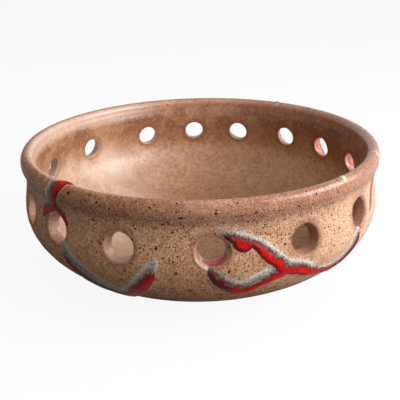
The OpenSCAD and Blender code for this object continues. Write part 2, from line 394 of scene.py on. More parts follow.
inner_hole_z = outside.place(HOLE_WAY)[1] - WALL * outside.facing(HOLE_WAY)[1]
INNER_HOLE_WAY = np.interp(-inner_hole_z, -inside.points[inner_part, 1], inside.way[inner_part])
BAND_LOW, BAND_HIGH = HOLE_WAY - BAND, HOLE_WAY + BAND
INNER_BAND_HIGH, INNER_BAND_LOW = INNER_HOLE_WAY - BAND, INNER_HOLE_WAY + BAND
print(f"{COLUMN_COUNT} columns, the holes' band from {BAND_LOW:.0f} to {BAND_HIGH:.0f} mm")

# %% Builder of the clay mesh
LARGEST_STEP, ALL_COLUMNS_R = 16, 60


class ClayMesh:
    """Collects points and faces, ring by ring."""

    def __init__(self):
        self.points = []
        self.faces = []

    def add(self, points):
        """Adds points and returns their numbers."""
        start = len(self.points)
        self.points += [tuple(p) for p in points]
        return list(range(start, len(self.points)))

    def ring(self, r, z, step=1):
        """A ring on every step-th column."""
        return self.add(around(r, column_turns[::step], z))

    def join(self, low, high):
        """Faces between two rings, where the second may have half as many points as the first."""
        if len(high) == len(low):
            self.faces += zip(low, low[1:] + low[:1], high[1:] + high[:1], high)
        elif len(high) * 2 == len(low):
            self.faces += zip(low[::2], low[1::2], low[2::2] + low[:1], high[1:] + high[:1], high)
        else:
            self.join(high[::-1], low[::-1])

    def close(self, ring, point):
        """A fan from a ring to one point on the axis."""
        centre = self.add([point])[0]
        self.faces += [(a, b, centre) for a, b in zip(ring, ring[1:] + ring[:1])]


def column_step(r):
    """Takes every second column, then every fourth and so on, as the rings get smaller."""
    step = 1
    while step < LARGEST_STEP and r < ALL_COLUMNS_R / step:
        step *= 2
    return step


clay = ClayMesh()


def sheet(places):
    """Rings at these places of the section, joined to each other, and returned."""
    rings = [clay.ring(r, z, column_step(r)) for r, z in places]
    for low, high in zip(rings, rings[1:]):
        clay.join(low, high)
    return rings


# %% [markdown]
# The rows follow the section in the order in which a finger would trace it: from the middle of the hollow
# foot, over the foot ring, up the outside, over the lip, down the inside and across the floor. Two bands stay
# open for the holes.

# %% Foot, outside, lip, inside and floor
FLOOR_STEP = 2.4
QUARTER_STEPS = 6
foot_inner_r = FOOT_R - FOOT_RING_WIDTH
round_reach = (FOOT_ROUNDING, FOOT_ROUNDING)
foot_places = np.vstack([
    [(r, FOOT_HOLLOW) for r in ways(FLOOR_STEP, foot_inner_r, FLOOR_STEP)],
    arc((foot_inner_r + FOOT_ROUNDING, FOOT_ROUNDING), round_reach, 180, 270, QUARTER_STEPS),
    arc((FOOT_R - FOOT_ROUNDING, FOOT_ROUNDING), round_reach, -90, 0, QUARTER_STEPS)]).tolist()
lower = [outside.place(w) for w in ways(0, BAND_LOW, WALL_STEP)]
upper = ([outside.place(w) for w in ways(BAND_HIGH, outside.length, LIP_STEP)]
         + [inside.place(w) for w in ways(0, INNER_BAND_HIGH, LIP_STEP)[1:]])
floor = [inside.place(w) for w in ways(INNER_BAND_LOW, inside.length - FLOOR_STEP, WALL_STEP)]

foot_rings = sheet(foot_places + lower)
lip_rings = sheet(upper)
floor_rings = sheet(floor)
clay.close(foot_rings[0][::-1], (0, 0, FOOT_HOLLOW))
clay.close(floor_rings[-1], (0, 0, FLOOR_Z))
print(f"{len(foot_rings)} rings to the holes, {len(lip_rings)} over the lip, {len(floor_rings)} to the floor")

# %% Sides of the patches, which neighbouring holes share


def band_sides(line, start, end):
    """Points up each border between two holes' patches, without the two ends."""
    sides = []
    for start_angle in sector_starts:
        r, z = line.place(np.linspace(start, end, BAND_ROWS + 1)[1:-1])
        sides.append(clay.add(around(r, math.radians(start_angle), z)))
    return sides


outer_sides = band_sides(outside, BAND_LOW, BAND_HIGH)
inner_sides = band_sides(inside, INNER_BAND_LOW, INNER_BAND_HIGH)
print(f"{len(outer_sides)} borders between the holes on each face, {BAND_ROWS} rows high")


def patch_border(hole, low_ring, high_ring, sides):
    """The numbers of the points round one patch: along the bottom, up, back along the top and down."""
    first = hole * SECTOR_COLUMNS
    along = [(first + k) % COLUMN_COUNT for k in range(SECTOR_COLUMNS + 1)]
    bottom = [low_ring[k] for k in along]
    top = [high_ring[k] for k in along]
    return bottom + sides[(hole + 1) % HOLES] + top[::-1] + sides[hole][::-1]


# %% [markdown]
# ### One patch
#
# The points of a patch's border are seen from the middle of the hole, and each has a partner on the circle.
# Rings between the two are a blend, pulled closer together near the edge, where the surface turns fastest.

# %% Rings round and through a hole
PATCH_RINGS = 7
EDGE_RINGS = 5
BORE_RINGS = 4
CROWD = 1.25


def open_patch(hole, border, reach, phi, radius_at, depth):
    """Rings from a square border in to a circle, on one face of the wall."""
    square = np.array(to_hole(hole, np.array([clay.points[k] for k in border])))
    circle = reach * np.array([np.cos(phi), np.sin(phi)])
    rings = [border]
    for share in (1 - np.arange(1, PATCH_RINGS + 1) / PATCH_RINGS) ** CROWD:
        u, v = circle + (square - circle) * share
        rings.append(clay.add(from_hole(hole, u, v, wall_depth(hole, u, v, radius_at, depth))))
    return rings


def round_over(hole, phi, bore, edge, skin, facing):
    """Rings that roll between the wall's skin and the bore. facing is 1 at the outside and -1 inside."""
    rings = []
    for turn in np.linspace(0, math.pi / 2, EDGE_RINGS + 1)[1:]:
        reach = bore + edge * (1 - math.sin(turn))
        depth = skin - facing * edge * (1 - math.cos(turn))
        rings.append(clay.add(circle_point(hole, reach, phi, depth)))
    return rings[::facing]


def pierce(hole):
    outer_border = patch_border(hole, foot_rings[-1], lip_rings[0], outer_sides)
    inner_border = patch_border(hole, floor_rings[0], lip_rings[-1], inner_sides)
    u, v = to_hole(hole, np.array([clay.points[k] for k in outer_border]))
    even = np.linspace(0, 2 * math.pi, len(u), endpoint=False)
    seen = np.unwrap(np.arctan2(v, u))
    phi = (seen + even + seen.mean() - even.mean()) / 2
    bore, inner_bore, outer_edge, inner_edge = hole_outline(hole, phi)
    outer_reach, inner_reach = bore + outer_edge, inner_bore + inner_edge
    outer_skin = skin_depth(hole, outer_reach, phi, outer_radius, 0)
    inner_skin = skin_depth(hole, inner_reach, phi, inner_radius, -WALL)

    rings = open_patch(hole, outer_border, outer_reach, phi, outer_radius, 0)
    rings += round_over(hole, phi, bore, outer_edge, outer_skin, 1)
    bore_start, bore_end = outer_skin - outer_edge, inner_skin + inner_edge
    for share in np.arange(1, BORE_RINGS) / BORE_RINGS:
        reach = bore + (inner_bore - bore) * share
        depth = bore_start + (bore_end - bore_start) * share
        rings.append(clay.add(circle_point(hole, reach, phi, depth)))
    rings += round_over(hole, phi, inner_bore, inner_edge, inner_skin, -1)
    rings += open_patch(hole, inner_border, inner_reach, phi, inner_radius, -WALL)[::-1]
    for before, after in zip(rings, rings[1:]):
        clay.join(before, after)


for hole in range(HOLES):
    pierce(hole)

bowl = add_piece("bowl_clay", np.array(clay.points), clay.faces)
bowl.data.update()
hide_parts("bowl_body")
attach(bowl, "root")
print(f"Clay: {len(bowl.data.vertices)} points, {len(bowl.data.polygons)} faces")

# %% [markdown]
# ## Glaze trails
#
# The heavy red glaze ran down in the kiln and left a grey and cream border above it that breaks into fine
# hairs. A tube along a curve would look like a cord, because real glaze lies down flat at its edges.
#
# So each trail is worked out like a map. The outside of the bowl is unrolled, with the distance round it to
# the right and the way up it upwards. A list of stops gives the middle line of a border and its width, and a
# second list gives the red core. For every point of the map we know how deep it lies inside each of them. The
# depths set the height of the glaze and its colours. The border shows on one side of its core only:
# `depth_within` also tells how far to the left of the middle line a place lies, and past the core's other
# edge the border is cut down to a thin pale line.

# %% The unrolled map
MAP_R = 118.0
HOLE_REACH = HOLE_R + HOLE_EDGE_OUTSIDE
FAR = 99.0
LEVELS = [0, 1, 2, 3]
LEVEL_WAYS = [0, HOLE_WAY - HOLE_REACH, HOLE_WAY + HOLE_REACH, outside.length]
TRAIL_WIDTH = 10.0
STOP_STEPS = 6


def smooth_course(stops):
    """A smooth line through stops of angle, level and width, as millimetres on the map."""
    angle, level, width = np.array(stops, float).T
    rows = np.column_stack([np.radians(angle) * MAP_R, np.interp(level, LEVELS, LEVEL_WAYS),
                            width * TRAIL_WIDTH / 2])
    rows = np.vstack([rows[:1], rows, rows[-1:]])
    course = []
    for a, b, c, d in zip(rows, rows[1:], rows[2:], rows[3:]):
        for t in np.arange(STOP_STEPS) / STOP_STEPS:
            course.append((2 * b + (c - a) * t + (2 * a - 5 * b + 4 * c - d) * t ** 2
                           + (3 * b - a - 3 * c + d) * t ** 3) / 2)
    return np.array(course + [rows[-1]])


def depth_within(places, course):
    """How far each place lies within a course, below 0 outside it, and how far it lies to its left."""
    depth, nearest, left = np.full(len(places), -FAR), np.full(len(places), np.inf), np.zeros(len(places))
    for start, end in zip(course, course[1:]):
        along = end[:2] - start[:2]
        length = max(math.hypot(*along), 1e-6)
        t = np.clip((places - start[:2]) @ along / length ** 2, 0, 1)
        off = places - start[:2] - t[:, None] * along
        away = np.linalg.norm(off, axis=1)
        depth = np.maximum(depth, start[2] + (end[2] - start[2]) * t - away)
        left = np.where(away < nearest, (along[0] * off[:, 1] - along[1] * off[:, 0]) / length, left)
        nearest = np.minimum(nearest, away)
    return depth, left


# %% [markdown]
# `drape` puts a point of the map on the bowl, at a height above the clay. Near a hole the map bends over the
# rounded edge and down into the bore, so a trail that meets a hole flows into it.

# %% Drape over the wall and into the holes


def drape(places, lift):
    """Points on the outside of the bowl for places on the map, and how far each went into a hole."""
    turn, way = places[:, 0] / MAP_R, places[:, 1]
    r, z = outside.place(way)
    out_r, out_z = outside.facing(way)
    points, flat = around(r + out_r * lift, turn, z + out_z * lift), around(r, turn, z)
    sunk = np.zeros(len(places))
    for hole in range(HOLES):
        u, v = to_hole(hole, flat)
        reach, phi = np.hypot(u, v), np.arctan2(v, u)
        facing = (flat - hole_centres[hole]) @ hole_out[hole] > -WALL
        bore, inner_bore, edge, _ = hole_outline(hole, phi)
        near = facing & (reach < bore + edge)
        if not near.any():
            continue
        phi, bore, inner_bore, edge = phi[near], bore[near], inner_bore[near], edge[near]
        gone = bore + edge - reach[near]
        roll = np.minimum(gone / edge, math.pi / 2)
        down = np.maximum(gone - edge * math.pi / 2, 0)
        narrowing = (inner_bore - bore) * down / (WALL - HOLE_EDGE_OUTSIDE - HOLE_EDGE_INSIDE)
        skin = skin_depth(hole, bore + edge, phi, outer_radius, 0)
        out = bore + edge * (1 - np.sin(roll)) + narrowing - lift[near] * np.sin(roll)
        depth = skin - edge * (1 - np.cos(roll)) - down + lift[near] * np.cos(roll)
        points[near] = circle_point(hole, out, phi, depth)
        sunk[near] = gone
    return points, sunk


# %% [markdown]
# ### A trail as a closed mesh
#
# The map is covered with a fine grid, and the cells within reach of the trail are kept. The outermost points
# are slid onto the true outline, so no stairs are left. The top follows the depth: it starts just under the
# clay's skin, rises in a meniscus and stays low over the border and full over the red. A second layer under
# the skin closes the piece.
#
# Each vertex carries its two depths, how pale the glaze is and how much painted shade it gets. Where it ran
# down into a hole it is pale pink, partly because it is thin there and partly as painted light. Painted shade,
# where it is marked, turns it nearly black.

# %% Depths and height of a trail
GRID = 0.55
MARGIN = 2.0
UNDER_SKIN, BED_DEPTH = 0.10, 0.5
BORDER_RISE, CORE_RISE = 0.45, 0.75
THIN_EDGE = 1.0
HOLE_RUN = 4.2
SLIDE_PROBE, SLIDE_STEPS, LEAST_SLOPE = 0.05, 3, 0.5


def ease(value, start, end):
    """A smooth step from 0 to 1 between start and end."""
    t = fade(value, start, end)
    return t * t * (3 - 2 * t)


def trail_depths(places, courses, hole_run):
    """Depth within the whole trail and within its red core, how far down a hole, and whether all cream."""
    whole, core = np.full(len(places), -FAR), np.full(len(places), -FAR)
    cream = np.zeros(len(places))
    for border_course, core_course, side in courses:
        border, _ = depth_within(places, border_course)
        if core_course is not None:
            middle, left = depth_within(places, core_course)
            shown = ease(left * side, -1.5, 1.0)
            border = border * shown + np.minimum(border, middle + THIN_EDGE) * (1 - shown)
            core = np.maximum(core, middle)
        cream = np.where(border > whole, core_course is None, cream)
        whole = np.maximum(whole, border)
    whole = np.maximum(whole, core)
    _, sunk = drape(places, np.zeros(len(places)))
    room = np.where(sunk > 0, hole_run - sunk, FAR)
    return np.minimum(whole, room), np.minimum(core, room), sunk, cream


def trail_lift(whole, core, rise):
    """Height of the glaze above the clay. rise is 1 for thick glaze and less for thin."""
    edge = (UNDER_SKIN + 0.05) * ease(whole, -MARGIN, -MARGIN + 0.6) - UNDER_SKIN
    return edge + rise * (BORDER_RISE * ease(whole, 0.2, 2.6) + CORE_RISE * ease(core, -0.8, 1.8))


# %% Grid of a trail, and its edge
def trail_cells(courses, hole_run):
    """Places of a fine grid over the map, and its four-sided cells within reach of the trail."""
    stops = np.vstack([course for pair in courses for course in pair[:2] if course is not None])
    spare = stops[:, 2].max() + MARGIN + GRID
    low, high = stops[:, :2].min(0) - spare, stops[:, :2].max(0) + spare
    high[1] = min(high[1], outside.length)
    wide, tall = np.ceil((high - low) / GRID).astype(int) + 1
    across, upward = np.linspace(low[0], high[0], wide), np.linspace(low[1], high[1], tall)
    places = np.stack(np.meshgrid(across, upward), -1).reshape(-1, 2)
    reached = trail_depths(places, courses, hole_run)[0] > -MARGIN
    corners = [(k, k + 1, k + wide + 1, k + wide)
               for k in range((tall - 1) * wide) if (k + 1) % wide]
    kept = [cell for cell in corners if all(reached[k] for k in cell)]
    used = sorted({k for cell in kept for k in cell})
    number = {k: n for n, k in enumerate(used)}
    return places[used], [tuple(number[k] for k in cell) for cell in kept]


def slide_rim(places, rim, courses, hole_run):
    """Moves the outermost points onto the line that lies the margin outside the trail."""
    for _ in range(SLIDE_STEPS):
        here = trail_depths(places[rim], courses, hole_run)[0]
        slope = np.column_stack([trail_depths(places[rim] + step, courses, hole_run)[0] - here
                                 for step in SLIDE_PROBE * np.eye(2)]) / SLIDE_PROBE
        steep = np.maximum((slope ** 2).sum(1), LEAST_SLOPE ** 2)
        move = (-MARGIN - here)[:, None] * slope / steep[:, None]
        places[rim] += np.clip(move, -GRID, GRID)
        places[rim, 1] = np.minimum(places[rim, 1], outside.length)


# %% Trail builder
def lay_trail(name, node, pairs, pale=0.0, rise=1.0, painted_shade=((0, 0),), hole_pale=0.6,
              hole_run=HOLE_RUN):
    """Builds one trail from pairs of border stops, core stops and the side the border shows on.

    burnt is a list of angles and how dark the glaze is there. hole_run is how far it runs into a hole.
    """
    courses = [(smooth_course(border), core and smooth_course(core), side) for border, core, side in pairs]
    places, tops = trail_cells(courses, hole_run)
    edges = {edge for cell in tops for edge in zip(cell, cell[1:] + cell[:1])}
    rim_edges = sorted(edge for edge in edges if edge[::-1] not in edges)
    rim = np.array(sorted({k for edge in rim_edges for k in edge}))
    slide_rim(places, rim, courses, hole_run)

    whole, core, sunk, cream = trail_depths(places, courses, hole_run)
    whole[rim] = -MARGIN
    lift = trail_lift(whole, core, rise)
    total = len(places)
    top, _ = drape(places, lift)
    bed, _ = drape(places, np.full(total, -BED_DEPTH))
    faces = tops + [tuple(k + total for k in reversed(cell)) for cell in tops]
    faces += [(b, a, a + total, b + total) for a, b in rim_edges]
    piece = add_piece(name, np.vstack([top, bed]), faces)

    under = np.full(total, -MARGIN)
    # Paleness: partly thin glaze run into a hole, partly painted light.
    milky = np.maximum(cream, np.maximum(pale, hole_pale * ease(sunk, 0.5, 3.5)))
    # Painted shade along the trail, taken off where it runs into a hole.
    darkness = np.interp(np.degrees(places[:, 0] / MAP_R), *np.array(painted_shade, float).T)
    darkness = darkness * (1 - ease(sunk, 0.5, 3))
    for mark, above, below in (("border_depth", whole, under), ("core_depth", core, under),
                               ("paleness", milky, milky), ("painted_shade", darkness, darkness)):
        set_mark(piece.data, mark, np.concatenate([above, below]))
    flow = piece.data.attributes.new("flow", "FLOAT_VECTOR", "POINT")
    flat = np.column_stack([np.vstack([places, places]), np.zeros(2 * total)])
    flow.data.foreach_set("vector", flat.astype(np.float32).ravel())
    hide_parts(node)
    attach(piece, "root")
    print(f"{name}: {len(piece.data.polygons)} faces, up to {lift.max():.2f} mm high")
    return piece


# %% [markdown]
# ### The stops of each trail
#
# A stop is an angle round the bowl, a level and a width. Levels keep a trail in step with the holes: 0 is the
# foot, 1 and 2 are the lower and the upper edge of the holes, and 3 is the end of the lip. A width of 1 is
# 10 mm. The border shows to the left of the way in which its core is written, or to the right where the side
# is -1. The angles given after the stops mark how much painted shade darkens a trail there.

# %% Left rim trail
left_rim = lay_trail(
    "trail_left_rim", "glaze_run_left_rim",
    [([(-40.2, 2.93, 0.85), (-41.1, 2.78, 1.3), (-42.3, 2.6, 1.25), (-43.7, 2.43, 1.05), (-45, 2.27, 0.95),
       (-46, 2.13, 0.85), (-46.8, 2.02, 0.7)],
      [(-39.6, 2.95, 0.55), (-40.1, 2.8, 0.66), (-40.9, 2.64, 0.56), (-41.9, 2.53, 0.5), (-43, 2.37, 0.42),
       (-44.1, 2.2, 0.42), (-44.9, 2.07, 0.45)], -1),
     ([(-45, 2.04, 0.4), (-46.9, 2, 0.6), (-49.2, 1.91, 0.7), (-50.7, 1.76, 0.5), (-50.9, 1.6, 0.25)],
      [(-45.3, 2.03, 0.4), (-47.2, 1.97, 0.52), (-49.3, 1.86, 0.55), (-50.4, 1.71, 0.38)], -1),
     ([(-46, 2.07, 0.4), (-44.2, 2.08, 0.6), (-42.2, 2.05, 0.55), (-40.2, 1.92, 0.5), (-38.9, 1.74, 0.3)],
      [(-45.2, 2.06, 0.3), (-43.5, 2.05, 0.36), (-42, 1.99, 0.36), (-40.4, 1.87, 0.34),
       (-39.3, 1.72, 0.25)], 1)],
    painted_shade=((-51, 0.0), (-47, 0.35), (-43, 0.5), (-40, 0.2)), hole_pale=0.0)

# %% Left base trail
left_base = lay_trail(
    "trail_left_base", "glaze_run_left_base",
    [([(-40.8, 1.22, 0.25), (-40.3, 1.05, 0.6), (-39.2, 0.945, 1), (-37.4, 0.885, 1.3), (-35, 0.825, 1.6),
       (-32.2, 0.76, 1.7), (-29, 0.695, 1.75), (-26, 0.655, 1.7), (-23, 0.66, 1.45), (-20.5, 0.71, 1.25),
       (-18.4, 0.785, 1.15), (-16.5, 0.855, 1.05), (-14.6, 0.925, 0.95), (-13.2, 0.98, 0.8),
       (-12.2, 1.08, 0.6), (-11.8, 1.2, 0.3)],
      [(-41, 0.93, 0.25), (-39.6, 0.88, 0.45), (-38, 0.82, 0.6), (-35.8, 0.755, 0.7), (-33.2, 0.69, 0.75),
       (-30, 0.63, 0.8), (-26.5, 0.59, 0.8), (-23.4, 0.62, 0.7), (-20.2, 0.69, 0.75), (-18, 0.765, 0.75),
       (-15.9, 0.83, 0.65), (-14, 0.89, 0.5), (-12.7, 0.94, 0.35)], 1)],
    painted_shade=((-26, 0.95), (-19, 0.45), (-13, 0.3)))

# %% Front trail, with the glaze in the front hole and a drop in the hole to its right
front = lay_trail(
    "trail_front", "glaze_run_front",
    [([(3.8, 1.97, 0.3), (6.2, 1.91, 0.6), (8.4, 1.8, 0.95), (10.4, 1.68, 1.15), (12.4, 1.62, 0.9),
       (14.5, 1.58, 0.8), (16.2, 1.43, 0.9), (18.1, 1.22, 0.95), (20.1, 1.03, 1), (22.2, 0.96, 1),
       (24.8, 0.93, 1.1), (27.3, 0.905, 1.15), (29.8, 0.87, 1.05), (32.3, 0.83, 0.85), (35, 0.8, 0.85),
       (38.2, 0.78, 0.95), (41.4, 0.775, 1.1), (44.6, 0.8, 1.15), (47.2, 0.845, 1.1), (49, 0.905, 1),
       (50.1, 0.965, 0.8), (50.8, 1.02, 0.5)],
      [(6.3, 1.87, 0.16), (7.5, 1.79, 0.24), (8.6, 1.73, 0.36),
       (9.6, 1.63, 0.6), (10.9, 1.57, 0.6), (12, 1.6, 0.4), (13, 1.6, 0.26), (14.4, 1.48, 0.35),
       (16, 1.29, 0.5), (17.8, 1.12, 0.52), (19.6, 1.0, 0.5), (21.6, 0.93, 0.5), (24.5, 0.905, 0.5),
       (27, 0.89, 0.55), (29.5, 0.855, 0.6), (32.3, 0.82, 0.5), (35, 0.795, 0.38), (38.5, 0.765, 0.4),
       (41.5, 0.745, 0.5), (44.8, 0.76, 0.5), (47.8, 0.81, 0.5), (50, 0.875, 0.45), (51.2, 0.95, 0.35)], 1),
     ([(1.9, 1.01, 0.45), (2.9, 0.96, 0.8), (4.8, 0.905, 0.95), (7.1, 0.862, 1.04), (9.6, 0.835, 1.12),
       (12.2, 0.843, 1.12), (14.7, 0.88, 1.05), (17.2, 0.912, 1), (19.8, 0.93, 0.92), (22.4, 0.945, 0.8)],
      [(2.2, 0.965, 0.25), (3.8, 0.905, 0.4), (6, 0.845, 0.5), (8.5, 0.805, 0.6), (10.8, 0.78, 0.62),
       (13, 0.795, 0.55), (15.4, 0.83, 0.42), (17.5, 0.86, 0.5), (19.5, 0.885, 0.52), (22, 0.905, 0.5)], 1),
     ([(1.5, 1.25, 0.5), (2.6, 1.2, 0.55), (3.8, 1.21, 0.55), (4.8, 1.29, 0.5), (5.4, 1.4, 0.3)],
      [(1.9, 1.24, 0.4), (2.8, 1.2, 0.5), (3.8, 1.21, 0.5), (4.7, 1.28, 0.42), (5.2, 1.36, 0.25)], 1),
     ([(-1.7, 1.42, 0.03), (-1.3, 1.25, 0.07), (-0.5, 1.13, 0.08), (0.6, 1.06, 0.1), (1.6, 1.03, 0.3)],
      None, 1)],
    painted_shade=((3, 1.6), (7, 1.0), (9, 0.3), (13, 0.0), (44, 0.0), (50, 0.3)), hole_run=6.8, hole_pale=0.5)

# %% Right rim trail, back trail and the cream drip
right_rim = lay_trail(
    "trail_right_rim", "glaze_run_right_rim",
    [([(70.4, 2.93, 0.6), (70.4, 2.78, 0.75), (69.9, 2.6, 0.65), (68.9, 2.41, 0.55), (67.3, 2.2, 0.5),
       (65.3, 2, 0.5), (63.2, 1.75, 0.5), (61.4, 1.5, 0.45), (60, 1.27, 0.25)],
      [(67.9, 2.3, 0.2), (67.1, 2.2, 0.4), (65.2, 2, 0.54), (63.1, 1.75, 0.56),
       (61.5, 1.5, 0.5), (60.4, 1.34, 0.3)], -1)],
    pale=0.5, rise=0.35, painted_shade=((60, 0.85), (70, 0.6)))
back = lay_trail(
    "trail_back", "glaze_run_back",
    [([(145.4, 2.88, 0.2), (145.6, 2.7, 0.35), (146, 2.46, 0.7), (146.3, 2.16, 0.75), (146.2, 1.76, 0.8),
       (145.4, 1.3, 0.85), (143.6, 0.99, 0.9), (139.5, 0.9, 0.9), (134, 0.92, 0.85), (129.3, 0.97, 0.75),
       (126.3, 1.15, 0.6), (124.9, 1.45, 0.35)],
      [(145.6, 2.72, 0.25), (145.7, 2.46, 0.4), (145.9, 2.16, 0.4), (145.7, 1.76, 0.45), (144.7, 1.3, 0.5),
       (142.7, 0.97, 0.5), (139, 0.87, 0.5), (134, 0.89, 0.5), (129.6, 0.94, 0.42), (126.4, 1.1, 0.35),
       (125, 1.35, 0.25)], -1),
     ([(122.4, 1, 0.5), (123.4, 1.15, 0.7), (123.8, 1.4, 0.8), (123.7, 1.65, 0.75), (123.6, 1.88, 0.5)],
      [(122.4, 1.02, 0.4), (123.4, 1.17, 0.6), (123.7, 1.4, 0.7), (123.6, 1.65, 0.65),
       (123.5, 1.85, 0.4)], -1),
     ([(115, 1.66, 0.35), (111.5, 1.72, 0.6), (108, 1.66, 0.6), (104.4, 1.53, 0.5)],
      [(114, 1.64, 0.2), (111.5, 1.68, 0.35), (108, 1.62, 0.35), (104.6, 1.53, 0.35)], -1),
     ([(102.9, 1.8, 0.45), (102.6, 1.55, 0.75), (102.6, 1.35, 0.75), (102.2, 1.12, 0.5)],
      [(102.9, 1.77, 0.35), (102.6, 1.54, 0.65), (102.6, 1.36, 0.65), (102.3, 1.15, 0.4)], -1)],
    hole_run=7.0, hole_pale=1.0, rise=0.6)
cream_drip = lay_trail(
    "drip_lip", "glaze_drip_lip", pairs=[
        ([(43.9, 2.93, 0.18), (43.5, 2.87, 0.26), (43.1, 2.8, 0.28), (42.7, 2.73, 0.24), (42.4, 2.66, 0.14)],
         None, 1)])

# %% [markdown]
# ## Glazes
#
# The colours were judged and are written as screen values from 0 to 255, as one reads them off a
# picture. Cycles wants linear light, so `screen` converts them. `add` puts a node in a tree and feeds it. It
# returns the outputs as signals, and arithmetic on a signal adds the next node: `(cloud - 0.5) * height` is
# two nodes. `between` is a soft step, and `mix` is a colour that a mask picks between two others.

# %% Node helpers
FLOAT, COLOUR, VECTOR = "NodeSocketFloat", "NodeSocketColor", "NodeSocketVector"


def screen(r, g, b):
    """A screen colour as linear light."""
    return tuple(((c / 255 + 0.055) / 1.055) ** 2.4 if c > 10 else c / 255 / 12.92 for c in (r, g, b)) + (1,)


def feed(inputs, links):
    """Links each input to a signal, or sets it to a value."""
    for name, value in links.items():
        if isinstance(value, Signal):
            value.tree.links.new(value.socket, inputs[name])
        else:
            inputs[name].default_value = value


def add(tree, kind, links=None, **settings):
    """Adds a node. Returns its outputs as signals, by name and by number."""
    node = tree.nodes.new(kind)
    for name, value in settings.items():
        setattr(node, name, value)
    feed(node.inputs, links or {})
    outputs = [Signal(socket) for socket in node.outputs]
    return dict(enumerate(outputs)) | {signal.socket.name: signal for signal in outputs}


def compute(operation, a, b):
    """One math node. Either of the two may be a number."""
    tree = (a if isinstance(a, Signal) else b).tree
    return add(tree, "ShaderNodeMath", {0: a, 1: b}, operation=operation)[0]


class Signal:
    """An output of a node. What is done with it adds nodes to its own tree."""

    def __init__(self, socket):
        self.socket = socket
        self.tree = socket.id_data

    def __add__(self, other):
        return compute("ADD", self, other)

    def __sub__(self, other):
        return compute("SUBTRACT", self, other)

    def __rsub__(self, other):
        return compute("SUBTRACT", other, self)

    def __mul__(self, other):
        return compute("MULTIPLY", self, other)

    def __truediv__(self, other):
        return compute("DIVIDE", self, other)

    def __rtruediv__(self, other):
        return compute("DIVIDE", other, self)

    def most(self, other):
        return compute("MAXIMUM", self, other)

    def between(self, start, end, low=0, high=1):
        """A smooth change from low to high as the signal goes from start to end."""
        links = {"Value": self, "From Min": start, "From Max": end, "To Min": low, "To Max": high}
        return add(self.tree, "ShaderNodeMapRange", links, interpolation_type="SMOOTHSTEP")["Result"]

    def mix(self, *colours):
        """A colour between two, which are signals, three screen values or four of linear light."""
        a, b = (screen(*c) if isinstance(c, tuple) and len(c) == 3 else c for c in colours)
        return add(self.tree, "ShaderNodeMix", {0: self, 6: a, 7: b}, data_type="RGBA")[2]

    def blend(self, a, b):
        """A number between two numbers."""
        return add(self.tree, "ShaderNodeMix", {0: self, 2: a, 3: b})[0]

    def stretch(self, scale=(1, 1, 1), offset=(0, 0, 0)):
        return add(self.tree, "ShaderNodeMapping", {"Vector": self, "Scale": scale, "Location": offset})[0]

    def noise(self, scale, detail=2, roughness=0.5, output="Fac"):
        links = {"Vector": self, "Scale": scale, "Detail": detail, "Roughness": roughness}
        return add(self.tree, "ShaderNodeTexNoise", links)[output]

    def ramp(self, stops):
        """A colour ramp. A stop is a place and three screen values."""
        colour = add(self.tree, "ShaderNodeValToRGB", {"Fac": self})["Color"]
        elements = colour.socket.node.color_ramp.elements
        for _ in stops[2:]:
            elements.new(0.5)
        for element, (place, *values) in zip(elements, stops):
            element.position, element.color = place, screen(*values)
        return colour


# %% Node groups
def new_group(name, inputs, outputs):
    """A node group, its given signals and its results. An input given as a number is a float."""
    group = bpy.data.node_groups.new(name, "ShaderNodeTree")
    for socket, kind in inputs.items():
        if isinstance(kind, str):
            group.interface.new_socket(socket, in_out="INPUT", socket_type=kind)
        else:
            group.interface.new_socket(socket, in_out="INPUT", socket_type=FLOAT).default_value = kind
    for socket, kind in outputs.items():
        group.interface.new_socket(socket, in_out="OUTPUT", socket_type=kind)
    return group, add(group, "NodeGroupInput"), group.nodes.new("NodeGroupOutput").inputs


# %% [markdown]
# ### Iron specks
#
# Specks are grains of iron that melted through the glaze. Voronoi cells scatter them: a cell draws a lot,
# most cells stay empty, and another lot sets the size of the speck. A little noise bends the cells, so the
# specks aren't round. The satin glaze uses the group five times, from dust to a rare big grain.

# %% Iron speck group
speck_group, given, results = new_group(
    "Iron specks", {"Position": VECTOR, "Cell Size": 2.0, "Share": 0.3, "Speck Size": 0.3}, {"Mask": FLOAT})
bent = add(speck_group, "ShaderNodeVectorMath", {
    0: given["Position"].noise(1.6, 1, output="Color"), 1: (0.5, 0.5, 0.5), 2: given["Position"]},
    operation="MULTIPLY_ADD")["Vector"]
cells = add(speck_group, "ShaderNodeTexVoronoi", {"Vector": bent, "Scale": 1 / given["Cell Size"]})
lots = add(speck_group, "ShaderNodeSeparateColor", {"Color": cells["Color"]})
size = given["Speck Size"] * lots["Green"].between(0, 1, 0.45, 1)
grain = (size - cells["Distance"] * given["Cell Size"]).between(-0.06, 0.06)
feed(results, {"Mask": grain * compute("LESS_THAN", lots["Red"], given["Share"])})
print("Iron specks:", len(speck_group.nodes), "nodes in the group")

# %% [markdown]
# ### The satin tan glaze
#
# The body glaze is a pinkish tan that clouds towards buff and brown, with a grain of pale and dark flecks
# like coarse sand, and brown dots like pepper. It breaks red-brown where it is thin: on the rim and round
# the holes. The bands under the lip, outside below the rim and inside above the holes, are darker, partly
# from that break and partly as painted shade where the wall faces down. Painted light makes the right of
# the outside paler, with fewer dark flecks, and painted shade darkens its rim. The bores of the holes out
# of the shade get painted pale light and reflection, and the left of the inside a painted highlight; the
# inside is also smoother. It is thick and glossy on the rim and inside, and thin and matt near the foot
# and on the left. All of it is one group, because the margin of each trail shows the same glaze.

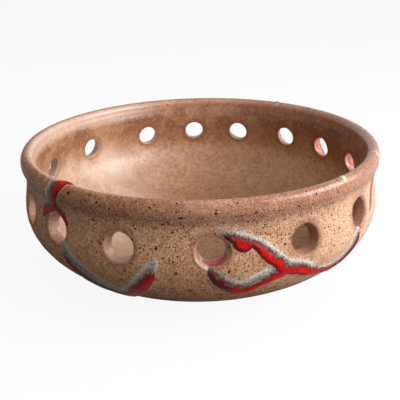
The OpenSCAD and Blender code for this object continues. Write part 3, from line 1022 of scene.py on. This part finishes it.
# %% Colours of the satin glaze
satin_group, given, results = new_group(
    "Satin tan glaze", {"Position": VECTOR, "Hole Gap": 20.0, "Inside": 0.0},
    {"Color": COLOUR, "Roughness": FLOAT, "Gloss": FLOAT, "Height": FLOAT})
position, gap, within = given["Position"], given["Hole Gap"], given["Inside"]
axes = add(satin_group, "ShaderNodeSeparateXYZ", {"Vector": position})
sideways, backward, height = axes["X"], axes["Y"], axes["Z"]
on_outside = within.between(1, 0)
cloud = position.noise(0.045, 3, 0.55)
patch = position.noise(0.16, 3, 0.6)
mottle = position.stretch(offset=(0, 30, 0)).noise(0.34, 3, 0.65)
grain = position.noise(1.2, 2, 0.65)
sand = position.stretch(offset=(40, 0, 0)).noise(1.5, 2, 0.65)

share_up = (height + (patch - 0.5) * 12) / 100
# Darker from 0.71 up: the break on the rim, and painted shade where the wall under the lip faces down.
outside_tan = share_up.ramp([
    (0.00, 112, 66, 40), (0.20, 150, 94, 59), (0.38, 190, 135, 93), (0.60, 206, 156, 114),
    (0.71, 196, 147, 107), (0.77, 166, 109, 78), (0.83, 168, 104, 74), (0.90, 168, 106, 78)])
# Darker from 0.66 to 0.76, above the holes: partly the glaze's break, partly painted shade under the lip.
inside_tan = share_up.ramp([
    (0.00, 172, 129, 93), (0.25, 182, 140, 105), (0.45, 196, 156, 124), (0.56, 165, 118, 83),
    (0.66, 140, 93, 60), (0.76, 112, 66, 42), (0.86, 176, 124, 98)])

# Painted light: the right of the outside, towards the window, is painted paler, with fewer dark flecks.
painted_window_light = sideways.between(25, 95, 0, 0.5) * on_outside * height.between(76, 66, 0.1, 1)
# Painted shade: the rim's outside on the lit right is painted darker.
rim_painted_shade = height.between(75, 80, 0, 0.45) * sideways.between(10, 60) * on_outside
# Painted highlight: the inside's left wall and lip, where the window shines, are painted pale.
painted_highlight = height.between(68, 44, 0, 0.60) * cloud.between(0.35, 0.6, 0.4, 1)
painted_highlight = painted_highlight.most(height.between(76, 82, 0, 0.5)) * sideways.between(-15, -80) * within
coarse = within.between(0, 1, 1, 0.28)
calm = coarse * painted_window_light.between(0, 0.5, 1, 0.85)
broken = (gap + (patch - 0.5) * 5).between(5.5, 0.2, 0, 0.66)
shaded = backward.between(10, -10) * sideways.between(15, 40)


def scatter(cell, offset, share, size):
    """A mask of specks in cells of one size."""
    return add(satin_group, "ShaderNodeGroup", {
        "Position": position.stretch(offset=offset), "Cell Size": cell, "Share": share, "Speck Size": size},
        node_tree=speck_group)["Mask"]


tan = within.mix(outside_tan, inside_tan)
for mask, colour in (
        (cloud.between(0.40, 0.66, 0, 0.35), (214, 172, 134)),
        (patch.between(0.50, 0.70, 0, 0.45), (152, 98, 70)),
        (mottle.between(0.48, 0.66, 0, 0.55), (150, 88, 58)),
        (mottle.between(0.46, 0.32, 0, 0.40), (208, 170, 128)),
        (painted_window_light, (232, 194, 168)),
        (rim_painted_shade, (150, 88, 56)),
        (painted_highlight, (233, 211, 195)),
        (grain.between(0.49, 0.62, 0, 0.62) * coarse * height.between(74, 82, 1, 0.6), (240, 204, 176)),
        (sand.between(0.50, 0.36, 0, 0.68) * calm, (100, 56, 38)),
        (scatter(1.25, (13.75, 0, 6.25), 0.55, 0.40) * 0.9 * calm, (98, 50, 38)),
        (scatter(1.9, (20.9, 0, 9.5), 0.40, 0.52) * 0.9 * calm, (98, 50, 38)),
        (broken, (140, 84, 62)),
        # Painted light and reflection: the bores of the holes out of the shade are painted pale.
        (gap.between(1.4, 0, 0, 0.65) * shaded.between(1, 0) * mottle.between(0.40, 0.58, 1, 0.5),
         (216, 178, 158))):
    tan = mask.mix(tan, colour)

# %% Iron, gloss and bumps of the satin glaze
sparse = position.noise(0.10, 1).between(0.38, 0.58, 0.45, 1) * sideways.between(80, 30, 0.35, 1)
sparse = sparse * sideways.between(-75, -30, 0.55, 1) * within.between(0.2, 0.8, 1, 0.22)
specks = [scatter(cell, (cell * 7, cell * 3, 0), sparse * share, size)
          for cell, share, size in ((2.2, 0.72, 0.58), (3.4, 0.28, 0.88), (1.4, 0.62, 0.34))]
iron = specks[0].most(specks[1]).most(specks[2])
iron = iron * within.between(0.2, 0.8, 1, 0.6) * gap.between(0, 1.2, 0.3, 1)
iron_tone = mottle.between(0.42, 0.60).mix((26, 18, 15), (72, 44, 34))

gloss = height.between(18, 78, 0.03, 0.60).most(within * sideways.between(20, -70, 0.5, 0.9))
gloss = (gloss * patch.between(0.35, 0.60, 1, 0.75)).most(height.between(76, 83, 0, 0.9))
matt = sideways.between(30, -50, 0, 0.75) * on_outside
gloss = (gloss * (1 - matt)).most(gap.between(1.6, 0.1))
bumps = grain * 0.7 + patch * 0.6 + sand * 0.4 - iron * 0.25
feed(results, {
    "Color": iron.mix(tan, iron_tone),
    "Roughness": patch.between(0.3, 0.7, 0.34, 0.44) + iron * 0.12,
    "Gloss": gloss * iron.between(0, 1, 1, 0.2),
    "Height": bumps * height.between(74, 80, 1, 0.35)})

# %% Satin glaze on the clay
GLAZE_IOR = 1.45
COAT_ROUGH, COAT_IOR = 0.25, 1.5
BUMP_DEPTH = 0.22 * MM


def new_material(name):
    """A material and its empty node tree."""
    material = bpy.data.materials.new(name)
    material.use_nodes = True
    material.node_tree.nodes.clear()
    return material, material.node_tree


def mark(tree, name, output="Fac"):
    return add(tree, "ShaderNodeAttribute", attribute_name=name)[output]


def satin_nodes(tree):
    """The satin glaze group, fed with the mesh's own marks, and the place in millimetres."""
    millimetres = add(tree, "ShaderNodeTexCoord")["Object"].stretch((1 / MM, 1 / MM, 1 / MM))
    return add(tree, "ShaderNodeGroup", {
        "Position": millimetres, "Hole Gap": mark(tree, "hole_gap"), "Inside": mark(tree, "inside_share")},
        node_tree=satin_group), millimetres


def finish_surface(tree, colour, rough, gloss, bumps):
    """A Principled surface with a clear coat and a bump, wired to the material's output."""
    bump = add(tree, "ShaderNodeBump", {"Height": bumps, "Distance": BUMP_DEPTH, "Strength": 1})[0]
    surface = add(tree, "ShaderNodeBsdfPrincipled", {
        "Base Color": colour, "Roughness": rough, "Normal": bump, "IOR": GLAZE_IOR, "Specular IOR Level": 0,
        "Coat Weight": gloss, "Coat Roughness": COAT_ROUGH, "Coat IOR": COAT_IOR, "Coat Normal": bump})
    add(tree, "ShaderNodeOutputMaterial", {"Surface": surface[0]})


satin, tree = new_material("speckled_satin_glaze")
glaze, _ = satin_nodes(tree)
finish_surface(tree, glaze["Color"], glaze["Roughness"], glaze["Gloss"], glaze["Height"])
bowl.data.materials.append(satin)
print("Satin glaze:", len(satin_group.nodes), "nodes in its group")

# %% [markdown]
# ### The trail glaze
#
# A trail reads its two depths. Noise that is stretched along the fall of the glaze moves the limits in and
# out, which draws the fine hairs. On the side of the border the bands are, from the outside in: whitish hairs
# on the tan, grey with pale hairs, charcoal with maroon streaks, and the bright red core. On the other side
# the border is cut off, so `border - core` is small there, and only a maroon edge and a broken pale line lie
# between the red and the tan. Painted shade, where marked, turns the red nearly black and the grey olive.

# %% Trail bands group
trail_group, given, results = new_group(
    "Trail bands", {"Flow": VECTOR, "Border Depth": 0.0, "Core Depth": 0.0, "Paleness": 0.0, "Painted Shade": 0.0,
                    "Clay Color": COLOUR},
    {"Color": COLOUR, "Glaze": FLOAT, "Red": FLOAT, "Height": FLOAT})
flow, paleness = given["Flow"], given["Paleness"]
lean = add(trail_group, "ShaderNodeVectorRotate", {"Vector": flow, "Angle": -0.22}, rotation_type="Z_AXIS")[0]
hairs = lean.stretch((1.5, 0.30, 1)).noise(1, 2, 0.6)
fine = lean.stretch((2.8, 0.6, 1), (9, 4, 0)).noise(1, 2, 0.6)
drops = flow.noise(0.26, 3, 0.6)
streaks = (hairs - 0.5) * 8 + (fine - 0.5) * 6

has_border = (given["Border Depth"] - given["Core Depth"]).between(1.1, 2)
wild = has_border * paleness.between(0.99, 0.85)
border = given["Border Depth"] + streaks * wild
core = given["Core Depth"] + (streaks * wild.between(0, 1, 0.18, 0.60) + (drops - 0.5) * 6)
glaze_mask = border.most(core).between(-0.25, 0.35)
red_mask = core.between(-0.8, 0.5)

grey = hairs.between(0.42, 0.58).mix((106, 91, 84), (182, 168, 156))
grey = fine.between(0.50, 0.62, 0, 0.5).mix(grey, (78, 62, 54))
grey = fine.between(0.46, 0.36, 0, 0.5).mix(grey, (224, 213, 200))
tips = border.between(2.4, 0.3).mix(grey, (232, 224, 211))
scorched = fine.between(0.44, 0.56).mix((120, 38, 42), (62, 42, 40))
halo = core.between(-2.6, -0.6, 0, 0.85).mix(tips, scorched)
thin_line = drops.between(0.42, 0.50).mix((110, 40, 34), (222, 200, 172))
thin_side = border.between(0.75, 0.45).mix((112, 16, 20), thin_line)
red = (core / 3).ramp([(0.0, 96, 24, 28), (0.22, 140, 16, 22), (0.55, 198, 18, 20), (1.0, 226, 26, 22)])
red = fine.between(0.52, 0.36, 0, 0.55).mix(red, (140, 10, 16))
inner = red_mask.mix(has_border.mix(thin_side, halo), red)

# Painted shade: where marked, the red goes nearly black and the grey olive.
painted_shade_share = given["Painted Shade"] * red_mask.between(0, 1, 0.45, 0.90)
inner = painted_shade_share.mix(inner, red_mask.mix((84, 72, 58), (84, 6, 14)))
# Pale pink and cream where the glaze is pale: partly thin glaze, partly painted light.
milky_red = fine.between(0.42, 0.60).mix((194, 112, 110), (222, 160, 154))
milky_halo = hairs.between(0.40, 0.58).mix((210, 188, 166), (236, 218, 202))
inner = (paleness * 0.85).mix(inner, red_mask.mix(milky_halo, milky_red))
feed(results, {"Color": glaze_mask.mix(given["Clay Color"], inner), "Glaze": glaze_mask,
               "Red": red_mask * glaze_mask, "Height": hairs * 0.5})

# %% Trail and cream materials
TRAIL_ROUGH, RED_ROUGH, TRAIL_COAT = 0.24, 0.13, 0.18
trail_glaze, tree = new_material("red_trail_glaze")
clay_glaze, _ = satin_nodes(tree)
bands = add(tree, "ShaderNodeGroup", {
    "Flow": mark(tree, "flow", "Vector"), "Border Depth": mark(tree, "border_depth"),
    "Core Depth": mark(tree, "core_depth"), "Paleness": mark(tree, "paleness"), "Painted Shade": mark(tree, "painted_shade"),
    "Clay Color": clay_glaze["Color"]}, node_tree=trail_group)
covered = bands["Glaze"]
rough = covered.blend(clay_glaze["Roughness"], bands["Red"].between(0, 1, TRAIL_ROUGH, RED_ROUGH))
bumps = clay_glaze["Height"] * covered.between(0, 1, 1, 0.25) + bands["Height"] * covered
finish_surface(tree, bands["Color"], rough, covered.blend(clay_glaze["Gloss"], TRAIL_COAT), bumps)
for piece in (left_rim, left_base, front, right_rim, back):
    piece.data.materials.append(trail_glaze)

cream_glaze, tree = new_material("cream_drip_glaze")
clay_glaze, millimetres = satin_nodes(tree)
covered = mark(tree, "border_depth").between(-0.3, 0.2)
cream = millimetres.noise(1.2).mix((236, 228, 206), (206, 190, 158))
colour = covered.mix(clay_glaze["Color"], cream)
rough = covered.blend(clay_glaze["Roughness"], TRAIL_ROUGH)
finish_surface(tree, colour, rough, clay_glaze["Gloss"], clay_glaze["Height"])
cream_drip.data.materials.append(cream_glaze)
print("Trail glaze:", len(trail_group.nodes), "nodes in its group")

# %% [markdown]
# ## Table and light
#
# The bowl stands on a plain table. The camera, and anything that mirrors the table, sees it white, and a
# share of the true shading is kept for a soft shadow. To all other rays it is dark, so it throws no light up
# at the belly. The light is a large soft window at the right, with weak wide lights from the front and the
# ceiling. The air lights the shade with a dim warm glow, but the camera and the glaze's mirror see it white.

# %% Table
TABLE_REACH, TABLE_ROUGH, SHADOW_SHARE = 12.0, 0.8, 0.08
corners = [(x * TABLE_REACH, y * TABLE_REACH, 0) for x, y in ((-1, -1), (1, -1), (1, 1), (-1, 1))]
floor_mesh = bpy.data.meshes.new("table")
floor_mesh.from_pydata(corners, [], [(0, 1, 2, 3)])
table = bpy.data.objects.new("table", floor_mesh)
bpy.context.scene.collection.objects.link(table)

table_white, tree = new_material("table_white")
bright = add(tree, "ShaderNodeEmission", {"Color": (1, 1, 1, 1), "Strength": 1})[0]
path = add(tree, "ShaderNodeLightPath")
direct = path["Is Camera Ray"].most(path["Is Glossy Ray"])
paint = add(tree, "ShaderNodeBsdfPrincipled", {
    "Base Color": direct.mix((90, 88, 86), (255, 255, 255)), "Roughness": TABLE_ROUGH})[0]
mixed = add(tree, "ShaderNodeMixShader", {0: direct * (1 - SHADOW_SHARE), 1: paint, 2: bright})[0]
add(tree, "ShaderNodeOutputMaterial", {"Surface": mixed})
floor_mesh.materials.append(table_white)

# %% Lights and world
LIT_SPOT = Vector((0, 0, 0.05))
WARM = (1.0, 0.98, 0.95)
GLOW = 0.15


def soft_light(name, place, width, height, power, colour):
    """An area light that looks at the bowl, with its place and sizes in metres and its power in watts."""
    data = bpy.data.lights.new(name, "AREA")
    data.shape, data.size, data.size_y = "RECTANGLE", width, height
    data.energy, data.color = power, colour
    lamp = bpy.data.objects.new(name, data)
    bpy.context.scene.collection.objects.link(lamp)
    lamp.location = place
    lamp.rotation_mode = "QUATERNION"
    lamp.rotation_quaternion = (LIT_SPOT - Vector(place)).to_track_quat("-Z", "Y")


soft_light("window", (0.95, -0.27, 0.48), 0.95, 0.62, 17.5, (0.985, 0.98, 1.0))
soft_light("room_front", (0.50, -1.3, 0.9), 1.6, 1.0, 7.5, WARM)
soft_light("ceiling", (0.0, -0.1, 1.5), 1.2, 1.0, 4.5, WARM)

world = bpy.data.worlds.new("studio")
bpy.context.scene.world = world
world.use_nodes = True
world.node_tree.nodes.clear()
path = add(world.node_tree, "ShaderNodeLightPath")
seen = path["Is Camera Ray"].most(path["Is Glossy Ray"]).most(path["Is Transmission Ray"])
sky = add(world.node_tree, "ShaderNodeBackground", {
    "Color": seen.mix((1.0, 0.95, 0.90, 1), (1, 1, 1, 1)), "Strength": seen.between(0, 1, GLOW, 1)})[0]
add(world.node_tree, "ShaderNodeOutputWorld", {"Surface": sky})
bpy.context.scene.view_settings.view_transform = "Standard"
print(len(bpy.data.lights), "soft lights, table", 2 * TABLE_REACH, "m across")
